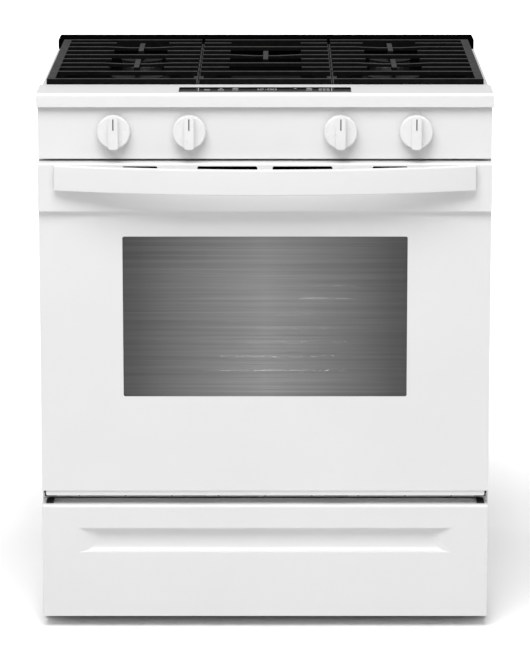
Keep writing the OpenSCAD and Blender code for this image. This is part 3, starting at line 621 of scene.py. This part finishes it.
def add_ring(bm, centre, radius, width, level, thick, steps=24):
    """A flat ring that lies on a level surface."""
    loops = []
    for z in (level, level + thick):
        for r in (radius - width / 2, radius + width / 2):
            loops.append([bm.verts.new((centre[0] + r * math.cos(a), centre[1] + r * math.sin(a), z))
                          for a in (2 * math.pi * i / steps for i in range(steps))])
    for first, second in ((0, 1), (1, 3), (3, 2), (2, 0)):
        for i in range(steps):
            j = (i + 1) % steps
            bm.faces.new((loops[first][i], loops[first][j], loops[second][j], loops[second][i]))


# Seven-segment bars: offset across and along the digit, and whether the bar runs across
SEGMENTS = {
    "top": (0.0, 1.0, True), "middle": (0.0, 0.5, True), "bottom": (0.0, 0.0, True),
    "upper_left": (0.0, 0.5, False), "upper_right": (1.0, 0.5, False),
    "lower_left": (0.0, 0.0, False), "lower_right": (1.0, 0.0, False),
}
DIGITS = {
    0: ["top", "bottom", "upper_left", "upper_right", "lower_left", "lower_right"],
    1: ["upper_right", "lower_right"],
    2: ["top", "upper_right", "middle", "lower_left", "bottom"],
}


def add_digit(bm, digit, corner, size, line, level, thick):
    width, height = size
    for name in DIGITS[digit]:
        across, along, level_bar = SEGMENTS[name]
        x = corner[0] + across * width
        y = corner[1] + along * height
        if level_bar:
            add_plate(bm, (x, x + width), (y - line / 2, y + line / 2), level, thick)
        else:
            add_plate(bm, (x - line / 2, x + line / 2), (y, y + height / 2), level, thick)


PRINT_THICK = 0.00012
PRINT_LINE = 0.0011
ROW_START, ROW_STEP = -0.010, 0.009
DIVIDER_X, DIVIDER_HALF = 0.111, 0.017
BAR_COLUMNS = ((-0.0965, 2), (-0.0735, 2), (-0.0495, 3), (0.0735, 3))
BAR_HALF, BAR_WIDE = 0.005, 0.0022
KEY_X, KEY_STEP, KEY_RADIUS = 0.092, 0.0065, 0.0021
DIGIT_SIZE, DIGIT_PITCH, DIGIT_LINE = (0.0052, 0.015), 0.0083, 0.0014


def touch_glass_print():
    """Generic pictograms and clock digits printed on the touch glass."""
    low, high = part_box("touch_glass")
    level, thick = high.z, PRINT_THICK
    middle = (low.y + high.y) / 2
    line = PRINT_LINE
    bm = bmesh.new()
    for side in (-1, 1):
        x = side * DIVIDER_X
        y = (middle - DIVIDER_HALF, middle + DIVIDER_HALF)
        add_plate(bm, (x - line / 2, x + line / 2), y, level, thick)
    for x, rows in BAR_COLUMNS:
        for row in range(rows):
            y = middle + ROW_START + row * ROW_STEP
            add_plate(bm, (x - BAR_HALF, x + BAR_HALF), (y, y + BAR_WIDE), level, thick)
    for x in (-0.0735, 0.0505):
        add_plate(bm, (x - 0.002, x + 0.002), (middle + 0.010, middle + 0.014), level, thick)
    for column in range(3):
        for row in range(3):
            spot = (KEY_X + column * KEY_STEP, middle + ROW_START + row * ROW_STEP)
            add_ring(bm, spot, KEY_RADIUS, line, level, thick)
    for x in (-0.0495, 0.0735):
        add_ring(bm, (x, middle + 0.0145), 0.0030, line, level, thick)
    places = [-2 * DIGIT_PITCH, -DIGIT_PITCH, 0.6 * DIGIT_PITCH, 1.6 * DIGIT_PITCH]
    for digit, x in zip((1, 2, 0, 0), places):
        add_digit(bm, digit, (x, middle - DIGIT_SIZE[1] / 2), DIGIT_SIZE, DIGIT_LINE, level, thick)
    for y in (middle - 0.0035, middle + 0.0035):
        add_ring(bm, (0.0012, y), 0.0006, 0.0010, level, thick, 12)
    new_piece("touch_glass_print", bm, "print", "cabinet", "white_enamel")


MARK_HALF = 0.00095
MARK_DEPTH = (0.0001, 0.0006)
MARK_HEIGHT = (0.0052, 0.0238)


def knob_marks():
    """The dark line let into the grip of each knob."""
    for i in range(1, 5):
        low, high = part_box(f"valve_stem_{i}")
        x, z = (low.x + high.x) / 2, (low.z + high.z) / 2
        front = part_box(f"knob_{i}")[0].y
        bm = bmesh.new()
        add_block(bm, (x - MARK_HALF, front + MARK_DEPTH[0], z + MARK_HEIGHT[0]),
                  (x + MARK_HALF, front + MARK_DEPTH[1], z + MARK_HEIGHT[1]))
        piece = new_piece(f"knob_mark_{i}", bm, "mark", f"knob_{i}_body", "black_plastic")
        finish_edges(piece, 0.0002)


def add_rod(curve, points, radius, closed=False):
    """One wire of a curve whose bevel depth is 1 mm."""
    spline = curve.splines.new("POLY")
    spline.points.add(len(points) - 1)
    for point, place in zip(spline.points, points):
        point.co = (*place, 1)
        point.radius = radius / 0.001
    spline.use_cyclic_u = closed
    spline.use_smooth = True


def rounded_loop(x, y, z, radius, steps=6):
    """Points round a level rectangle with rounded corners."""
    points = []
    for cx, cy, start in ((x[1] - radius, y[1] - radius, 0), (x[0] + radius, y[1] - radius, 90),
                          (x[0] + radius, y[0] + radius, 180), (x[1] - radius, y[0] + radius, 270)):
        for i in range(steps + 1):
            a = math.radians(start + 90 * i / steps)
            points.append((cx + radius * math.cos(a), cy + radius * math.sin(a), z))
    return points


RACK_RIM, RACK_BRACE, RACK_WIRE = 0.003, 0.0024, 0.0016
RACK_CORNER = 0.022
RACK_BRACES = 4
RACK_PITCH = 0.0222


def oven_rack(node, body):
    """A chromed wire rack: a bent border rod, cross rods under it and fine wires on top."""
    low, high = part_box(node)
    rim, brace, wire = RACK_RIM, RACK_BRACE, RACK_WIRE
    z = low.z + rim
    x = (low.x + rim, high.x - rim)
    y = (low.y + rim, high.y - rim)
    curve = bpy.data.curves.new(node + "_wires", "CURVE")
    curve.dimensions = "3D"
    curve.bevel_depth = 0.001
    curve.bevel_resolution = 3
    curve.use_fill_caps = True
    add_rod(curve, rounded_loop(x, y, z, RACK_CORNER), rim, closed=True)
    for i in range(1, RACK_BRACES):
        at = y[0] + i * (y[1] - y[0]) / RACK_BRACES
        add_rod(curve, [(x[0], at, z - 0.0005), (x[1], at, z - 0.0005)], brace)
    count = int((x[1] - 0.014) / RACK_PITCH)
    top = high.z - wire
    for i in range(-count, count + 1):
        at = i * RACK_PITCH
        add_rod(curve, [(at, y[0], z + 0.0006), (at, y[0] + 0.004, top), (at, y[1] - 0.004, top),
                        (at, y[1], z + 0.0006)], wire)
    piece = bpy.data.objects.new(node + "_wires", curve)
    bpy.context.scene.collection.objects.link(piece)
    paint(piece, "chrome")
    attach(piece, body)
    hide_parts(node)


def gasket_rope():
    """The woven rope seal round the oven mouth."""
    low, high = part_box("door_gasket")
    across, through = 0.004, (high.y - low.y) / 2
    middle = (low.y + high.y) / 2
    corner = 0.014
    loop = rounded_loop((low.x + across, high.x - across), (low.z + across, high.z - across), 0, corner)
    path = []
    step = 0.003
    for (ax, az, _), (bx, bz, _) in zip(loop, loop[1:] + loop[:1]):
        length = math.hypot(bx - ax, bz - az)
        pieces = max(1, round(length / step))
        for i in range(pieces):
            path.append(Vector((ax + (bx - ax) * i / pieces, middle, az + (bz - az) * i / pieces)))
    bm = bmesh.new()
    sides = 12
    rings = []
    for i, here in enumerate(path):
        ahead = (path[(i + 1) % len(path)] - path[i - 1]).normalized()
        outward = Vector((ahead.z, 0, -ahead.x))
        ring = []
        for k in range(sides):
            angle = 2 * math.pi * k / sides
            ply = 0.93 + 0.07 * math.cos(4 * angle + i * 0.9)
            ring.append(bm.verts.new(here + outward * (across * ply * math.cos(angle))
                                     + Vector((0, through * ply * math.sin(angle), 0))))
        rings.append(ring)
    for first, second in zip(rings, rings[1:] + rings[:1]):
        for k in range(sides):
            j = (k + 1) % sides
            bm.faces.new((first[k], first[j], second[j], second[k]))
    piece = new_piece("door_gasket_rope", bm, "seal", "cabinet", "seal", "door_gasket")
    piece.modifiers.new("smoothing", "NODES").node_group = SMOOTHING


def add_batt(bm, low, high):
    """A slab of mineral wool: soft edges and an uneven, slightly sunken surface."""
    low, high = Vector(low), Vector(high)
    size = high - low
    cell = 0.030
    counts = [max(2, round(side / cell)) for side in size]
    verts = {}

    def vert(i, j, k):
        key = (i, j, k)
        if key not in verts:
            share = Vector((i / counts[0], j / counts[1], k / counts[2]))
            place = Vector([low[a] + size[a] * share[a] for a in range(3)])
            inward = Vector([(0.5 - share[a]) * 2 for a in range(3)])
            edge = sum(1 for a in range(3) if share[a] in (0, 1))
            swell = math.sin(place.x * 47 + place.z * 31) * math.cos(place.y * 39 + place.z * 53)
            sink = 0.0016 + 0.0012 * swell
            for a in range(3):
                if share[a] in (0, 1):
                    place[a] += math.copysign(sink + 0.0012 * (edge - 1), inward[a])
            verts[key] = bm.verts.new(place)
        return verts[key]

    for axis in range(3):
        u, v = [a for a in range(3) if a != axis]
        for end in (0, counts[axis]):
            for i in range(counts[u]):
                for j in range(counts[v]):
                    quad = []
                    for di, dj in ((0, 0), (1, 0), (1, 1), (0, 1)):
                        index = [0, 0, 0]
                        index[axis], index[u], index[v] = end, i + di, j + dj
                        quad.append(vert(*index))
                    bm.faces.new(quad)


def oven_wool():
    """The blanket round the oven, in slabs that leave room for the flue and the lamp."""
    low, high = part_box("oven_insulation")
    inner_low, inner_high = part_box("oven_liner")
    flue_low, flue_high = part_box("flue_duct")
    lamp_low, lamp_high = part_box("lamp_cover")
    gap = 0.001
    back = inner_high.y + gap
    x0, x1 = low.x, high.x
    y0, y1 = low.y, high.y
    left, right = inner_low.x - gap, inner_high.x + gap
    floor, ceiling = inner_low.z - gap, inner_high.z + gap
    above_flue = flue_low.z + 0.041
    bm = bmesh.new()
    add_batt(bm, (x0, y0, low.z), (x1, back - gap, floor))
    add_batt(bm, (x0, y0, ceiling), (x1, back - gap, high.z))
    add_batt(bm, (x0, y0, floor + gap), (left, back - gap, ceiling - gap))
    add_batt(bm, (right, y0, floor + gap), (x1, back - gap, ceiling - gap))
    add_batt(bm, (x0, back, low.z), (x1, y1, lamp_low.z - gap))
    add_batt(bm, (x0, back, lamp_low.z), (flue_low.x - gap, y1, above_flue))
    add_batt(bm, (flue_high.x + gap, back, lamp_low.z), (lamp_low.x - gap, y1, above_flue))
    add_batt(bm, (lamp_high.x + gap, back, lamp_low.z), (x1, y1, above_flue))
    add_batt(bm, (x0, back, above_flue + gap), (x1, y1, high.z))
    piece = new_piece("oven_wool", bm, "wool", "cabinet", "mineral_wool", "oven_insulation")
    piece.modifiers.new("softening", "SUBSURF").levels = 1


def door_wool():
    """Slabs of wool round the window inside the door."""
    low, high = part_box("door_insulation")
    glass_low, glass_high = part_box("window_glass")
    gap = 0.004
    left, right = glass_low.x - gap, glass_high.x + gap
    sill, head = glass_low.z - gap, glass_high.z + gap
    bm = bmesh.new()
    add_batt(bm, low, (high.x, high.y, sill))
    add_batt(bm, (low.x, low.y, head), high)
    add_batt(bm, (low.x, low.y, sill + 0.001), (left, high.y, head - 0.001))
    add_batt(bm, (right, low.y, sill + 0.001), (high.x, high.y, head - 0.001))
    piece = new_piece("door_wool", bm, "wool", "door", "mineral_wool", "door_insulation")
    piece.modifiers.new("softening", "SUBSURF").levels = 1


RIVET_PITCH, RIVET_HALF = 0.0788, 0.0016
RIVETS_EACH_SIDE = 4
SLOT_SPAN = (0.100, 0.141)


def door_bottom_details():
    """Rivets, and two dark plates of painted shade where the drain slots open, along the underside of the
    door.
    """
    low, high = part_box("door_bottom_strip")
    bm = bmesh.new()
    for i in range(-RIVETS_EACH_SIDE, RIVETS_EACH_SIDE + 1):
        x = i * RIVET_PITCH
        add_block(bm, (x - RIVET_HALF, low.y + 0.0006, low.z - 0.0014),
                  (x + RIVET_HALF, low.y + 0.0046, low.z + 0.0004))
    # Each drain slot is a dark plate of painted shade, standing in for the shadowed opening
    for side in (-1, 1):
        ends = sorted(side * x for x in SLOT_SPAN)
        add_block(bm, (ends[0], low.y + 0.0008, low.z - 0.0008), (ends[1], low.y + 0.0060, low.z + 0.0004))
    piece = new_piece("door_bottom_rivets_and_slot_shade", bm, "mark", "door", "dark_steel")
    finish_edges(piece, 0.0003)


BLACK_BLOCK_SPAN = (0.3590, 0.3715)


def drawer_black_blocks():
    """Black blocks on the drawer's top edge, under the door hinges."""
    low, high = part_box("drawer_front")
    bm = bmesh.new()
    for side in (-1, 1):
        ends = sorted(side * x for x in BLACK_BLOCK_SPAN)
        add_block(bm, (ends[0], low.y + 0.009, high.z - 0.0003), (ends[1], high.y - 0.002, high.z + 0.0018))
    piece = new_piece("drawer_black_blocks", bm, "black_plastic", "drawer", "black_plastic")
    finish_edges(piece, 0.0006)


touch_glass_print()
knob_marks()
oven_rack("oven_rack_upper", "rack_upper")
oven_rack("oven_rack_lower", "rack_lower")
gasket_rope()
oven_wool()
door_wool()
door_bottom_details()
drawer_black_blocks()

add_camera()
add_world()
add_floor()
for light_name, (place, target, size, power) in LIGHTS.items():
    add_area_light(light_name, place, target, size, power)
bpy.context.scene.view_settings.view_transform = "Standard"
